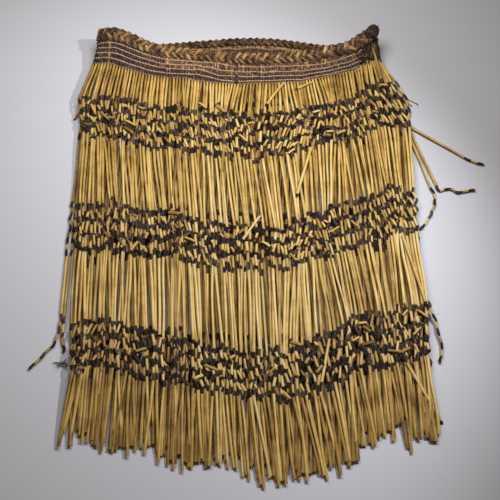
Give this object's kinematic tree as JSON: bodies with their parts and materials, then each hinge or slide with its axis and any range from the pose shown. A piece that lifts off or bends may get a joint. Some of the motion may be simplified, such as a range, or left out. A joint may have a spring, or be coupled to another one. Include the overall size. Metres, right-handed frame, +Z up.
{
  "type": "piupiu, a grass skirt of rolled flax strands",
  "caption": "Grass skirt laid flat: golden rolled flax strands with dark dyed bands hang from a twined waistband with a thick plaited edge.",
  "frame": {"origin": "middle of the flat underside of the waistband's back run, on the surface that the skirt lies on", "axes": "+X across the skirt to the right of someone who looks at its front, +Y up the skirt from the hem to the waist, +Z up from the surface"},
  "size_m": [0.6108, 0.6828, 0.0483],
  "materials": {
    "strands": "satin",
    "band": "matte",
    "plait": "matte",
    "knot": "matte"
  },
  "bodies": {
    "root": {"waistband": "band", "waist_plait": "plait", "tie_knot": "knot", "fringe_front_1": "strands", "fringe_front_2": "strands", "fringe_front_3": "strands", "fringe_front_4": "strands", "fringe_end": "strands", "fringe_back_1": "strands", "fringe_back_2": "strands", "fringe_back_3": "strands", "fringe_back_4": "strands", "fringe_stray_left": "strands", "fringe_stray_right": "strands"}
  },
  "joints": []
}
